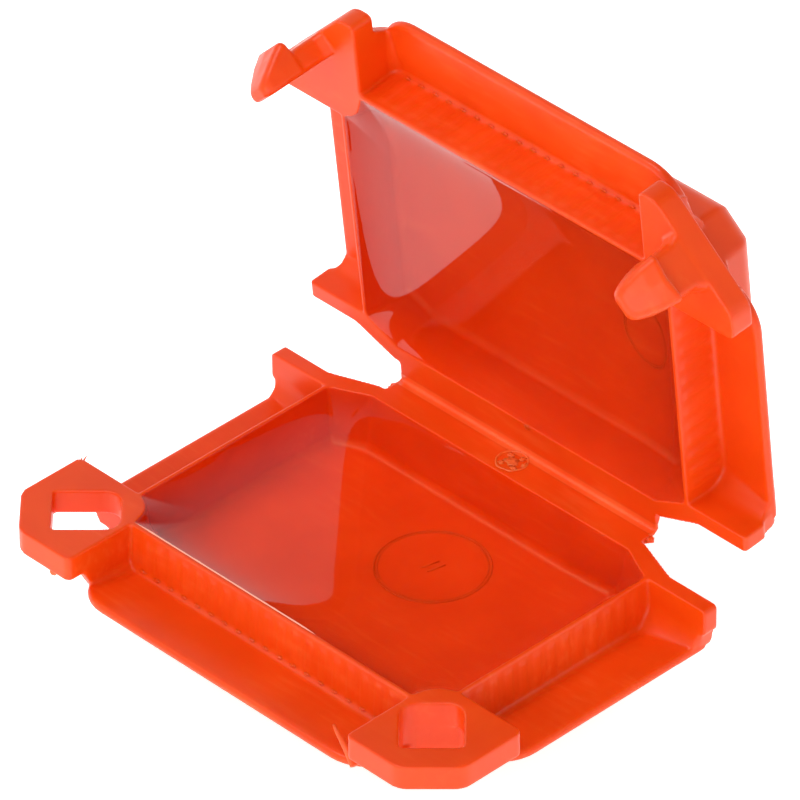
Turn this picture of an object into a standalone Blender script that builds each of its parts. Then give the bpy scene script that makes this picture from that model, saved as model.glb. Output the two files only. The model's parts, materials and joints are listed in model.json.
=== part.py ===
"""Hinged gel box for sealing a cable joint, standing open.

Two shallow tubs share a living hinge.  Each tub is filled with clear gel, has a
step outside three thin scored walls where the cables enter, and snaps shut with
two hooks on the lid that drop through two eyes on the base.

Every piece is drawn in the hinge frame: the crease is the X axis, the closed rims
meet at Z = 0, and a half reaches back to Y = 0 and down to Z = -HALF_HEIGHT.
The lid is the same drawing turned over, hung from an empty on the crease.
"""
import math

import bmesh
import bpy
from mathutils import Matrix, Vector

MM = 0.001

# Gel tub, inside at the rim.
CAVITY_WIDTH = 46.0 * MM
CAVITY_DEPTH = 32.2 * MM
HALF_HEIGHT = 12.3 * MM
TUB_WALL = 1.3 * MM
TUB_FLOOR = 1.3 * MM
TUB_DRAFT = 0.7 * MM
TUB_EDGE_ROUND = 1.6 * MM
FRONT_CORNER_CUT = 4.3 * MM
FRONT_POST = 2.4 * MM
REAR_CORNER_WIDTH = 4.4 * MM
REAR_CORNER_DEPTH = 2.1 * MM

# Step outside the tub, where the cables lie.
LEDGE_DROP = 5.3 * MM
LEDGE_SIDE_WIDTH = 7.8 * MM
LEDGE_FRONT_WIDTH = 8.2 * MM
LEDGE_RISE = 0.6 * MM
LEDGE_EDGE_CUT = 0.35 * MM
LEDGE_THICKNESS = 1.1 * MM

# Scored walls that a cable is pushed through.
ENTRY_WALL = 0.45 * MM
SCORE_PITCH = 2.0 * MM
SCORE_RIB_WIDTH = 0.9 * MM
SCORE_RIB_HEIGHT = 0.25 * MM

# Rear wall, its ears and the hinge.
HINGE_SETBACK = 4.05 * MM
REAR_WALL = 1.9 * MM
EAR_REACH = 8.5 * MM
EAR_LIP_HEIGHT = 2.8 * MM
EAR_STEP = 0.45 * MM
HINGE_LENGTH = 37.0 * MM
HINGE_LEAF = 0.8 * MM
HINGE_BEAD_RADIUS = 0.25 * MM
OPENING_DEGREES = 84.0

# Catches on the base's front corners: a lug with an eye, on two webs and a post.
CATCH_REACH = 9.25 * MM
CATCH_FRONT_OVERLAP = 2.85 * MM
CATCH_SIDE_OVERLAP = 3.6 * MM
CATCH_THICKNESS = 2.85 * MM
CATCH_NOSE = 13.8 * MM
CATCH_WEB = 1.2 * MM
EYE_WIDTH = 6.5 * MM
EYE_LENGTH = 7.1 * MM
EYE_START = -0.6 * MM
EYE_CORNER_CUT = EYE_WIDTH / 6

# Latches on the lid's front corners: a pad and a barbed hook.
PAD_NOSE = 8.75 * MM
HOOK_THICKNESS = 2.7 * MM
HOOK_END_CLEARANCE = 0.4 * MM
HOOK_SIDE_CLEARANCE = 0.75 * MM
HOOK_HEAD = 4.3 * MM
HOOK_TIP_WIDTH = 2.8 * MM
HOOK_TIP_THICKNESS = 1.1 * MM
BARB_REACH = 1.3 * MM
BARB_PLAY = 0.9 * MM
BARB_RISE = 0.4 * MM

# Fits.
RIM_GAP = 0.3 * MM
PIECE_GAP = 0.3 * MM
GEL_BELOW_RIM = 0.25 * MM
MERGE = 0.00001

HALF_WIDTH = CAVITY_WIDTH / 2
CAVITY_REAR = -HINGE_SETBACK
CAVITY_FRONT = CAVITY_REAR - CAVITY_DEPTH
CAVITY_MIDDLE = (CAVITY_REAR + CAVITY_FRONT) / 2
RIM = -RIM_GAP / 2
LEDGE_TOP = -LEDGE_DROP
LEDGE_UNDERSIDE = LEDGE_TOP - LEDGE_THICKNESS
LEDGE_EDGE = HALF_WIDTH + LEDGE_SIDE_WIDTH
EAR_EDGE = HALF_WIDTH + EAR_REACH
REAR_SHOULDER_X = HALF_WIDTH - REAR_CORNER_WIDTH
REAR_FACE = CAVITY_REAR + REAR_WALL
EAR_FRONT = CAVITY_REAR - REAR_CORNER_DEPTH
EAR_BACK = EAR_FRONT + REAR_WALL
HOOK_WIDTH = EYE_WIDTH - 2 * HOOK_SIDE_CLEARANCE
BARB_START = CATCH_THICKNESS + BARB_PLAY
HOOK_LENGTH = BARB_START + BARB_RISE + HOOK_HEAD
CUT_MARGIN = 2.0 * MM

LEFT = Vector((-1.0, 0.0, 0.0))
RIGHT = Vector((1.0, 0.0, 0.0))
FRONT = Vector((0.0, -1.0, 0.0))

part_collection = None
helper_collection = None


def start_scene():
    """Removes what is there and makes the two collections."""
    global part_collection, helper_collection
    for old in list(bpy.data.objects):
        bpy.data.objects.remove(old, do_unlink=True)
    part_collection = bpy.data.collections.new("hinged_gel_box")
    helper_collection = bpy.data.collections.new("cutters_and_fillers")
    for made in (part_collection, helper_collection):
        bpy.context.scene.collection.children.link(made)


def plastic(name, colour, roughness, alpha=1.0):
    """Principled material of one moulded or poured piece."""
    made = bpy.data.materials.new(name)
    made.use_nodes = True
    shader = made.node_tree.nodes["Principled BSDF"]
    shader.inputs["Base Color"].default_value = (*colour, 1.0)
    shader.inputs["Roughness"].default_value = roughness
    shader.inputs["Metallic"].default_value = 0.0
    shader.inputs["Alpha"].default_value = alpha
    return made


def as_helper(piece):
    """A cutter or filler that only shapes another piece."""
    part_collection.objects.unlink(piece)
    helper_collection.objects.link(piece)
    piece.hide_render = True
    piece.display_type = "WIRE"
    return piece


def prism(name, outline, low, high):
    """Flat outline in XY, extruded from low to high along Z, as a closed mesh."""
    curve = bpy.data.curves.new(name + "_outline", "CURVE")
    curve.dimensions = "2D"
    curve.fill_mode = "BOTH"
    curve.extrude = (high - low) / 2
    spline = curve.splines.new("POLY")
    spline.points.add(len(outline) - 1)
    for point, (x, y) in zip(spline.points, outline):
        point.co = (x, y, 0.0, 1.0)
    spline.use_cyclic_u = True
    drawn = bpy.data.objects.new(name + "_outline", curve)
    part_collection.objects.link(drawn)
    bpy.context.view_layer.update()
    mesh = bpy.data.meshes.new_from_object(drawn.evaluated_get(bpy.context.evaluated_depsgraph_get()))
    bpy.data.objects.remove(drawn, do_unlink=True)
    mesh.transform(Matrix.Translation((0.0, 0.0, (low + high) / 2)))
    closed = bmesh.new()
    closed.from_mesh(mesh)
    bmesh.ops.remove_doubles(closed, verts=closed.verts, dist=MERGE)
    bmesh.ops.recalc_face_normals(closed, faces=closed.faces)
    closed.to_mesh(mesh)
    closed.free()
    mesh.name = name
    piece = bpy.data.objects.new(name, mesh)
    part_collection.objects.link(piece)
    return piece


def upright_prism(name, outline, outward, low, high):
    """Upright outline, its X along outward and its Y up, extruded to the right of outward."""
    up = Vector((0.0, 0.0, 1.0))
    piece = prism(name, outline, low, high)
    axes = Matrix((outward, up, outward.cross(up))).transposed()
    piece.data.transform(axes.to_4x4())
    return piece


def boolean(piece, other, operation):
    """Exact Boolean of a helper into a piece."""
    step = piece.modifiers.new(other.name, "BOOLEAN")
    step.operation = operation
    step.object = as_helper(other)
    step.solver = "EXACT"


def drafted(piece, low, inset):
    """Draws the lowest outline in by a draft, about the middle of the tub."""
    for vertex in piece.data.vertices:
        if vertex.co.z < low + MERGE:
            vertex.co.x -= math.copysign(inset, vertex.co.x)
            vertex.co.y -= math.copysign(inset, vertex.co.y - CAVITY_MIDDLE)
    return piece


def rounded_bottom(piece, low, radius):
    """Rounds the edges round the lowest face."""
    mesh = bmesh.new()
    mesh.from_mesh(piece.data)
    bottom = [e for e in mesh.edges if all(v.co.z < low + MERGE for v in e.verts)]
    border = [e for e in bottom if any(f.normal.z > -0.9 for f in e.link_faces)]
    bmesh.ops.bevel(mesh, geom=border, offset=radius, segments=3, profile=0.5, affect="EDGES")
    mesh.to_mesh(piece.data)
    mesh.free()
    return piece


def mirrored_outline(right_side):
    """Closed outline from its right half, which runs from the back to the front."""
    return right_side + [(-x, y) for x, y in reversed(right_side)]


def front_arc(steps=5):
    """Inner face of the corner post: an arc across the tub's front right corner."""
    start = Vector((HALF_WIDTH, CAVITY_FRONT + CATCH_SIDE_OVERLAP))
    end = Vector((HALF_WIDTH - CATCH_FRONT_OVERLAP, CAVITY_FRONT))
    inward = Vector((-1.0, 1.0)).normalized()
    corner = Vector((HALF_WIDTH, CAVITY_FRONT))
    chord = ((start + end) / 2 - corner).dot(inward)
    bulge = FRONT_CORNER_CUT / math.sqrt(2) - chord
    points = []
    for step in range(steps + 1):
        share = step / steps
        middle = start.lerp(end, share) + inward * bulge * math.sin(math.pi * share)
        points.append((middle.x, middle.y))
    return points


def cavity_outline():
    """Tub's inside at the rim."""
    rear_shoulder = (REAR_SHOULDER_X, CAVITY_REAR)
    return mirrored_outline([rear_shoulder, (HALF_WIDTH, EAR_FRONT)] + front_arc())


def post_nose():
    """Where the corner post's outer face crosses the tub's outer side and front."""
    across = FRONT_CORNER_CUT - FRONT_POST * math.sqrt(2)
    side = HALF_WIDTH + TUB_WALL
    front = CAVITY_FRONT - TUB_WALL
    return [(side, CAVITY_FRONT + across + TUB_WALL), (HALF_WIDTH - across - TUB_WALL, front)]


def tub_outline():
    """Tub's outside, just under the ledge."""
    rear_shoulder = (REAR_SHOULDER_X + TUB_WALL / 2, CAVITY_REAR + TUB_WALL)
    side = HALF_WIDTH + TUB_WALL
    return mirrored_outline([rear_shoulder, (side, EAR_FRONT + TUB_WALL)] + post_nose())


def ledge_section(wall_face, width):
    """Ledge cut across: it rises a little from the tub to its edge."""
    root = wall_face + TUB_WALL / 2
    edge = wall_face + width
    edge_top = LEDGE_TOP + LEDGE_RISE
    edge_low = edge_top - LEDGE_THICKNESS
    buried = LEDGE_TOP - LEDGE_EDGE_CUT
    return [
        (root, buried),
        (wall_face + TUB_WALL + LEDGE_THICKNESS, LEDGE_TOP),
        (edge - LEDGE_EDGE_CUT, edge_top),
        (edge, edge_top - LEDGE_EDGE_CUT),
        (edge, edge_low + LEDGE_EDGE_CUT),
        (edge - LEDGE_EDGE_CUT, edge_low),
        (root, buried - LEDGE_THICKNESS),
    ]


def add_ledges(shell, name):
    """Steps at the front and both sides, which stop short of the front corners for the hooks."""
    stop_x = HALF_WIDTH - CATCH_FRONT_OVERLAP + CATCH_WEB
    stop_y = CAVITY_FRONT + CATCH_SIDE_OVERLAP - CATCH_WEB
    rear = (EAR_FRONT + EAR_BACK) / 2
    side_section = ledge_section(HALF_WIDTH, LEDGE_SIDE_WIDTH)
    front_section = ledge_section(-CAVITY_FRONT, LEDGE_FRONT_WIDTH)
    ledges = (
        ("_left_ledge", side_section, LEFT, stop_y, rear),
        ("_right_ledge", side_section, RIGHT, -rear, -stop_y),
        ("_front_ledge", front_section, FRONT, -stop_x, stop_x),
    )
    for suffix, section, outward, low, high in ledges:
        boolean(shell, upright_prism(name + suffix, section, outward, low, high), "UNION")


def rear_outline():
    """Rear wall's middle and its angled shoulders, in plan."""
    shoulder = Vector((REAR_SHOULDER_X + TUB_WALL / 2, REAR_FACE))
    at_ear = Vector((HALF_WIDTH + TUB_WALL, EAR_BACK))
    inside_ear = shoulder.lerp(at_ear, 1.2)
    return mirrored_outline(
        [
            (shoulder.x, shoulder.y),
            (inside_ear.x, inside_ear.y),
            (inside_ear.x, (EAR_FRONT + EAR_BACK) / 2),
        ]
    )


def ear_outline():
    """Both ears as one plate seen from behind, with the lip and the step at each end."""
    lip = RIM - EAR_LIP_HEIGHT
    stepped = EAR_EDGE - EAR_STEP
    right = [
        (EAR_EDGE, RIM),
        (EAR_EDGE, lip),
        (stepped, lip - EAR_STEP),
        (LEDGE_EDGE - LEDGE_THICKNESS, LEDGE_TOP),
    ]
    return mirrored_outline(right)


def half_shell(name):
    """Tub, ledge, rear wall with ears and hinge leaf, as one solid."""
    shell = prism(name, tub_outline(), -HALF_HEIGHT, LEDGE_TOP)
    drafted(shell, -HALF_HEIGHT, TUB_DRAFT)
    rounded_bottom(shell, -HALF_HEIGHT, TUB_EDGE_ROUND)
    add_ledges(shell, name)
    rear = prism(name + "_rear", rear_outline(), LEDGE_UNDERSIDE - LEDGE_THICKNESS / 2, RIM)
    boolean(shell, rear, "UNION")
    ears = upright_prism(name + "_ears", ear_outline(), RIGHT, -EAR_BACK, -EAR_FRONT)
    boolean(shell, ears, "UNION")
    half_leaf = HINGE_LENGTH / 2
    leaf_end = -HINGE_BEAD_RADIUS - PIECE_GAP
    root = REAR_FACE - REAR_WALL / 2
    leaf_points = [(half_leaf, leaf_end), (half_leaf, root)]
    leaf = prism(name + "_leaf", mirrored_outline(leaf_points), RIM - HINGE_LEAF, RIM)
    boolean(shell, leaf, "UNION")
    floor = -HALF_HEIGHT + TUB_FLOOR
    cavity = prism(name + "_cavity", cavity_outline(), floor, RIM + CUT_MARGIN)
    drafted(cavity, floor, TUB_DRAFT)
    boolean(shell, cavity, "DIFFERENCE")
    return shell


def comb_outline(length):
    """Thin wall seen from above: flat inside at Y = 0, score ribs on its outer face."""
    count = int((length - SCORE_RIB_WIDTH) / SCORE_PITCH) + 1
    first = (length - (count - 1) * SCORE_PITCH) / 2
    outer = -ENTRY_WALL
    points = [(length, 0.0), (0.0, 0.0), (0.0, outer)]
    for rib in range(count):
        middle = first + rib * SCORE_PITCH
        start, end = middle - SCORE_RIB_WIDTH / 2, middle + SCORE_RIB_WIDTH / 2
        crest = outer - SCORE_RIB_HEIGHT
        points += [(start, outer), (start, crest), (end, crest), (end, outer)]
    return points + [(length, outer)]


def entry_wall(name, start, length, turn_degrees):
    """Scored wall from a start point, running along its own X before the turn."""
    wall = prism(name, comb_outline(length), LEDGE_TOP + PIECE_GAP, RIM)
    turn = Matrix.Rotation(math.radians(turn_degrees), 4, "Z")
    wall.data.transform(Matrix.Translation((*start, 0.0)) @ turn)
    return wall


def front_entry_wall(name):
    half = HALF_WIDTH - CATCH_FRONT_OVERLAP - PIECE_GAP
    return entry_wall(name, (-half, CAVITY_FRONT), 2 * half, 0.0)


def side_entry_wall(name, side):
    """Side +1 is the right wall and -1 the left."""
    rear = EAR_FRONT - PIECE_GAP
    front = CAVITY_FRONT + CATCH_SIDE_OVERLAP + PIECE_GAP
    if side > 0:
        return entry_wall(name, (HALF_WIDTH, front), rear - front, 90.0)
    return entry_wall(name, (-HALF_WIDTH, rear), rear - front, -90.0)


def corner_plate_outline(nose):
    """Lug or pad on the right corner, from the post's arc out to a cut-off nose."""
    edge_x = HALF_WIDTH + CATCH_REACH
    edge_y = CAVITY_FRONT - CATCH_REACH
    inner_x = HALF_WIDTH - CATCH_FRONT_OVERLAP
    inner_y = CAVITY_FRONT + CATCH_SIDE_OVERLAP
    shoulder = nose - CATCH_REACH
    outer = [
        (inner_x, edge_y),
        (HALF_WIDTH + shoulder, edge_y),
        (edge_x, CAVITY_FRONT - shoulder),
        (edge_x, inner_y),
    ]
    return front_arc() + outer


def web_section(wall_face, width, foot, top):
    """Web seen from its side: its foot follows the ledge's slope, a gap above it."""
    start = wall_face + PIECE_GAP
    end = wall_face + width - LEDGE_THICKNESS
    bend = wall_face + TUB_WALL + LEDGE_THICKNESS
    return [(start, foot), (bend, foot), (end, foot + LEDGE_RISE), (end, top), (start, top)]


def add_post_and_webs(plate, name):
    """Post at the tub's corner and the two webs that carry a corner plate."""
    foot = LEDGE_TOP + PIECE_GAP
    top = RIM - CATCH_THICKNESS / 2
    post = prism(name + "_post", front_arc() + list(reversed(post_nose())), foot, top)
    boolean(plate, post, "UNION")
    inner_x = HALF_WIDTH - CATCH_FRONT_OVERLAP
    inner_y = CAVITY_FRONT + CATCH_SIDE_OVERLAP
    front_section = web_section(-CAVITY_FRONT, LEDGE_FRONT_WIDTH, foot, top)
    front_web = upright_prism(name + "_front_web", front_section, FRONT, -inner_x - CATCH_WEB, -inner_x)
    boolean(plate, front_web, "UNION")
    side_section = web_section(HALF_WIDTH, LEDGE_SIDE_WIDTH, foot, top)
    side_web = upright_prism(name + "_side_web", side_section, RIGHT, -inner_y, CATCH_WEB - inner_y)
    boolean(plate, side_web, "UNION")


def diagonal_frame():
    """From the corner frame (X out along the diagonal, Y across it) to the right corner."""
    turn = Matrix.Rotation(math.radians(-45.0), 4, "Z")
    return Matrix.Translation((HALF_WIDTH, CAVITY_FRONT, 0.0)) @ turn


def right_catch(name):
    """Lug with its eye, standing on webs and post."""
    lug = prism(name, corner_plate_outline(CATCH_NOSE), RIM - CATCH_THICKNESS, RIM)
    add_post_and_webs(lug, name)
    half = EYE_WIDTH / 2
    cut = EYE_CORNER_CUT
    stop = EYE_START + EYE_LENGTH
    eye_points = [
        (stop, half),
        (EYE_START + cut, half),
        (EYE_START, half - cut),
        (EYE_START, cut - half),
        (EYE_START + cut, -half),
        (stop, -half),
    ]
    eye = prism(name + "_eye", eye_points, LEDGE_TOP - CUT_MARGIN, RIM + CUT_MARGIN)
    eye.data.transform(diagonal_frame())
    boolean(lug, eye, "DIFFERENCE")
    return lug


def hook_outline():
    """Hook in profile: X out along the diagonal, Y away from its pad."""
    outer = EYE_START + EYE_LENGTH - HOOK_END_CLEARANCE
    inner = outer - HOOK_THICKNESS
    root = -CATCH_THICKNESS / 2
    return [
        (inner, root),
        (inner, HOOK_LENGTH),
        (inner + HOOK_TIP_THICKNESS, HOOK_LENGTH),
        (outer + BARB_REACH, BARB_START + BARB_RISE),
        (outer, BARB_START),
        (outer, root),
    ]


def hook(name):
    """Barbed hook that stands on its pad, narrowing from the barb to the tip."""
    made = prism(name, hook_outline(), -HOOK_WIDTH / 2, HOOK_WIDTH / 2)
    made.data.transform(Matrix.Rotation(math.radians(90.0), 4, "X"))
    for vertex in made.data.vertices:
        if vertex.co.z > HOOK_LENGTH - MERGE:
            vertex.co.y *= HOOK_TIP_WIDTH / HOOK_WIDTH
    made.data.transform(diagonal_frame())
    return made


def right_latch(name):
    """Pad with its hook, on the same webs and post as a catch."""
    pad = prism(name, corner_plate_outline(PAD_NOSE), RIM - CATCH_THICKNESS, RIM)
    add_post_and_webs(pad, name)
    boolean(pad, hook(name + "_hook"), "UNION")
    return pad


def mirror_mesh(piece, axis):
    """Mirrors a finished mesh in a plane through the origin, keeping its faces outward."""
    scale = Matrix.Identity(4)
    scale[axis][axis] = -1.0
    piece.data.transform(scale)
    piece.data.flip_normals()


def settled(piece):
    """Applies a piece's Booleans and removes their helpers, so that it can be mirrored whole."""
    bpy.context.view_layer.update()
    mesh = bpy.data.meshes.new_from_object(piece.evaluated_get(bpy.context.evaluated_depsgraph_get()))
    for step in list(piece.modifiers):
        bpy.data.objects.remove(step.object, do_unlink=True)
    piece.modifiers.clear()
    piece.data = mesh
    mesh.name = piece.name
    return piece


def gel(name):
    """Gel poured level into a tub, a gap clear of its walls and floor."""
    floor = -HALF_HEIGHT + TUB_FLOOR + PIECE_GAP
    fill = prism(name, cavity_outline(), floor, RIM - GEL_BELOW_RIM)
    for vertex in fill.data.vertices:
        vertex.co.x *= 1 - PIECE_GAP / HALF_WIDTH
        middle = CAVITY_MIDDLE
        vertex.co.y = middle + (vertex.co.y - middle) * (1 - 2 * PIECE_GAP / CAVITY_DEPTH)
    drafted(fill, floor, TUB_DRAFT)
    return fill


def hinge_bead(name):
    """Living hinge: a thin bead of plastic along the crease."""
    mesh = bmesh.new()
    bmesh.ops.create_cone(
        mesh,
        cap_ends=True,
        segments=12,
        radius1=HINGE_BEAD_RADIUS,
        radius2=HINGE_BEAD_RADIUS,
        depth=HINGE_LENGTH,
        matrix=Matrix.Rotation(math.radians(90.0), 4, "Y"),
    )
    data = bpy.data.meshes.new(name)
    mesh.to_mesh(data)
    mesh.free()
    piece = bpy.data.objects.new(name, data)
    part_collection.objects.link(piece)
    return piece


def build_half(prefix, corner, corner_name):
    """The pieces that both halves have, as a list, all in the base's attitude."""
    right = settled(corner("right_" + corner_name))
    left = bpy.data.objects.new("left_" + corner_name, right.data.copy())
    part_collection.objects.link(left)
    mirror_mesh(left, 0)
    return [
        settled(half_shell(prefix + "_shell")),
        front_entry_wall(prefix + "_front_entry_wall"),
        side_entry_wall(prefix + "_left_entry_wall", -1),
        side_entry_wall(prefix + "_right_entry_wall", 1),
        gel(prefix + "_gel"),
        left,
        right,
    ]


def main():
    start_scene()
    orange = plastic("orange_polypropylene", (0.90, 0.075, 0.008), 0.35)
    clear = plastic("clear_gel", (0.80, 0.10, 0.03), 0.05, alpha=0.45)
    crease = (0.0, -CAVITY_MIDDLE, HALF_HEIGHT)
    hinge_axis = bpy.data.objects.new("hinge_axis", None)
    hinge_axis.location = crease
    hinge_axis.rotation_euler.x = -math.radians(OPENING_DEGREES)
    part_collection.objects.link(hinge_axis)
    base = build_half("base", right_catch, "catch")
    base.append(hinge_bead("living_hinge"))
    for piece in base:
        piece.location = crease
    lid = build_half("lid", right_latch, "latch")
    for piece in lid:
        mirror_mesh(piece, 2)
        piece.parent = hinge_axis
    for piece in base + lid:
        piece.data.materials.clear()
        piece.data.materials.append(clear if piece.name.endswith("_gel") else orange)


main()
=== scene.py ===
"""Looks of the hinged gel box, standing open on a pale studio floor.

Each half is one continuous moulding.  Its walls, ledges, lugs and hooks are made as
closed solids in the hinge frame: the crease is the X axis, the shut rims meet at Z = 0,
and the half lies at negative Y and Z.  They are fused into one skin, relaxed so that its
edges are slightly round, and thinned.  The lid is the same half turned over.
"""
import json
import math

import bmesh
import bpy
import numpy as np
from mathutils import Matrix, Vector, noise


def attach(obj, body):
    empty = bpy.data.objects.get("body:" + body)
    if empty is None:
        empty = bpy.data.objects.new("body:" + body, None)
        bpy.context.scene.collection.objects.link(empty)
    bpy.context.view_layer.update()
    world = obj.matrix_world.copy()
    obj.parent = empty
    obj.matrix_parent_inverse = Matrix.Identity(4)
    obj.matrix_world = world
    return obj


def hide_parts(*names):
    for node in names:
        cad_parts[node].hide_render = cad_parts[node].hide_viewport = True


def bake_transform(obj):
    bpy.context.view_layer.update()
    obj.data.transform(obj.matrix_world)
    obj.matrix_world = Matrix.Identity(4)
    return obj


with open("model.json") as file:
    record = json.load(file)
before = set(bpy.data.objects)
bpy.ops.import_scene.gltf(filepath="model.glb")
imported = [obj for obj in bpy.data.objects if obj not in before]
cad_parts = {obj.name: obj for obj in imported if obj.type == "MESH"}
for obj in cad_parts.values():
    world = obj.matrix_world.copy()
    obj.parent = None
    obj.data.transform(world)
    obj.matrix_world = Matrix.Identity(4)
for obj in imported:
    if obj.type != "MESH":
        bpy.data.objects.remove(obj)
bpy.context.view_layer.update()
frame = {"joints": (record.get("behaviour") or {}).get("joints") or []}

MM = 0.001
CREASE = Vector(frame["joints"][0]["pos_m"])
OPEN_ANGLE = math.radians(84.0)

# How far one solid reaches into the next before they are fused.
LAP = 0.4 * MM

# Tub.  The half's own frame has its crease at Y = 0 and its rim near Z = 0.
HALF_WIDTH = 23.0 * MM
CAVITY_REAR = -4.05 * MM
CAVITY_FRONT = -36.25 * MM
CAVITY_MIDDLE = (CAVITY_REAR + CAVITY_FRONT) / 2
HALF_HEIGHT = 12.3 * MM
TUB_WALL = 1.3 * MM
TUB_FLOOR = 1.3 * MM
DRAFT = 0.7 * MM
BOTTOM_ROUND = 2.2 * MM
FLOOR_ROUND = 1.2 * MM
FLOOR_TOP = -HALF_HEIGHT + TUB_FLOOR
RIM = -0.15 * MM
ABOVE_RIM = 2 * MM
REAR_CORNER_ROUND = 1.2 * MM
EAR_CORNER_ROUND = 0.8 * MM

# Ledges and entry walls.
LEDGE_TOP = -5.3 * MM
LEDGE_RISE = 0.6 * MM
LEDGE_SIDE_WIDTH = 7.8 * MM
LEDGE_FRONT_WIDTH = 8.2 * MM
LEDGE_THICKNESS = 1.1 * MM
LEDGE_CORNER = 4.6 * MM
LEDGE_GUSSET = 1.5 * MM
LEDGE_GUSSET_DROP = 1.2 * MM
FOOT_FILLET = 0.5 * MM
ENTRY_WALL = 0.5 * MM
ENTRY_DRAFT = 0.35 * MM
RIB_PITCH = 2.0 * MM
RIB_HEIGHT = 0.07 * MM

# Rear wall, ears and hinge.
REAR_SHOULDER = 18.6 * MM
EAR_FRONT = -6.15 * MM
EAR_BACK = -4.25 * MM
EAR_EDGE = 31.5 * MM
EAR_LIP = 2.8 * MM
EAR_STEP = 0.45 * MM
EAR_FILLET = 2.8 * MM
EAR_MIDDLE = (EAR_FRONT + EAR_BACK) / 2
REAR_FACE = -2.15 * MM
LEAF_HALF = 18.5 * MM
LEAF_THICKNESS = 0.8 * MM
WEB_THICKNESS = 0.32 * MM
WEB_REACH = 0.75 * MM

# Corner plates: the base's lugs and the lid's pads.
PLATE_FRONT = 2.85 * MM
PLATE_SIDE = 3.6 * MM
PLATE_REACH = 9.22 * MM
PLATE_THICKNESS = 2.85 * MM
LUG_NOSE = 13.8 * MM
PAD_NOSE = 8.75 * MM
WEB = 1.2 * MM
WEB_FILLET = 1.0 * MM
WEB_FOOT_BACK = 2.6 * MM
WEB_TOP_BACK = 0.3 * MM
CORNER_CUT = 4.3 * MM
POST = 2.4 * MM
POST_ACROSS = CORNER_CUT - POST * math.sqrt(2)
PLATE_INNER_X = HALF_WIDTH - PLATE_FRONT
PLATE_INNER_Y = CAVITY_FRONT + PLATE_SIDE
PLATE_ROUND = 0.7 * MM
NOSE_ROUND = 2.3 * MM
WEB_FOOT = LEDGE_TOP - LAP
WEB_TOP = RIM - PLATE_THICKNESS / 2
EYE_START = -0.6 * MM
EYE_END = 6.5 * MM
EYE_HALF = 3.25 * MM
EYE_TUB_ROUND = 1.9 * MM
EYE_NOSE_ROUND = 0.5 * MM

# Hooks.
HOOK_OUTER = 6.1 * MM
HOOK_INNER = 3.4 * MM
HOOK_HALF = 2.5 * MM
BARB = 1.3 * MM
HOOK_INNER_ROUND = 0.5 * MM
HOOK_OUTER_ROUND = 0.7 * MM
# From foot to tip: height and the inner face's step in millimetres, the outer face's step in
# barb heights, the width as a share of the full one, and the ridge on the face in millimetres.
HOOK_LEVELS = (
    (-1.4, 0.0, 0.0, 1.25, 0.0),
    (0.0, 0.0, 0.0, 1.25, 0.0),
    (0.9, 0.0, 0.0, 1.06, 0.0),
    (3.65, 0.0, 0.0, 1.0, 0.0),
    (3.95, 0.0, 1.05, 1.07, 0.35),
    (4.35, 0.0, 1.05, 1.07, 0.45),
    (5.9, 0.0, 0.38, 0.98, 0.2),
    (7.4, 0.0, -0.42, 0.80, 0.05),
    (8.1, 0.08, -0.82, 0.66, 0.0),
    (8.45, 0.25, -1.12, 0.48, 0.0),
)

# Moulding marks: place and radius of each floor's ring, and the lines they are drawn with.
BASE_MARK = (1.0 * MM, -14.5 * MM, 6.05 * MM)
LID_MARK = (14.4 * MM, -19.9 * MM, 3.8 * MM)
MARK_LINE = 0.11 * MM
MARK_BAR = 1.1 * MM
MARK_BAR_APART = 0.45 * MM
MARK_BAR_SLANT = 0.25
LINE_FLATNESS = 0.8
GATE_X = -0.34 * MM
GATE_Y = -1.7 * MM
GATE_RADIUS = 1.7 * MM
GATE_LINE = 0.13 * MM
GATE_SUNK = 0.02 * MM
GATE_UNEVEN = 0.06
GATE_LINE_UNEVEN = 0.5
GATE_CRUMB_ROUGHNESS = 0.7
# Each torn crumb: its place across and along, its half axes in millimetres, its own number.
GATE_CRUMBS = (
    (0.1, -0.1, 0.75, 0.7, 0.12, 1),
    (-0.8, 0.6, 0.42, 0.32, 0.14, 2),
    (1.0, -0.85, 0.45, 0.3, 0.14, 4),
    (0.6, 0.9, 0.3, 0.4, 0.12, 6),
    (-0.6, -1.0, 0.34, 0.3, 0.12, 8),
    (1.4, 0.3, 0.26, 0.4, 0.13, 9),
)

# Flash round the base's lugs.  Places count from the tub's front line and the plate.  Each
# sliver has its length in millimetres and its turn in radians; the curl is in millimetres.
FLASH_BEAD_PLACE = (-22.9 * MM, -8.8 * MM, -0.25 * MM)
FLASH_BEAD_SIZE = (0.42 * MM, 0.36 * MM, 0.4 * MM)
SLIVER_PLACE = (-8.55 * MM, 3.35 * MM, -0.25 * MM)
SLIVERS = ((0.9, 0.3), (0.6, 1.0))
SLIVER_RISE = 0.35
SLIVER_RADII = (0.2 * MM, 0.16 * MM, 0.04 * MM)
SLIVER_FLATNESS = 0.5
CURL_PLACE = (0.1 * MM, -8.6 * MM, 1.2 * MM)
CURL_STEPS = 12
CURL_START = 0.5
CURL_RUN = -5.4
CURL_SWEEP = 0.8
CURL_HOOK = 1.9
CURL_RISE = 1.2
CURL_RADIUS = 0.45
CURL_THINNING = 0.28
CURL_FLATNESS = 0.6

# Torn plastic at each end of the crease, and the lid's crumb opposite the gate.
HINGE_TEAR_PLACE = (0.05 * MM, -0.95 * MM, -0.45 * MM)
HINGE_TEAR_SIZE = (0.45 * MM, 0.5 * MM, 0.28 * MM)
LID_CRUMB_PLACE = (0.3 * MM, -3.7 * MM, RIM)
LID_CRUMB_SIZE = (0.38 * MM, 0.3 * MM, 0.1 * MM)

# Nubs at the feet of the front wall's ribs.
NUB_MARGIN = 1.2 * MM
NUB_SIZE = (0.40 * MM, 0.22 * MM, 0.13 * MM)

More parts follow.
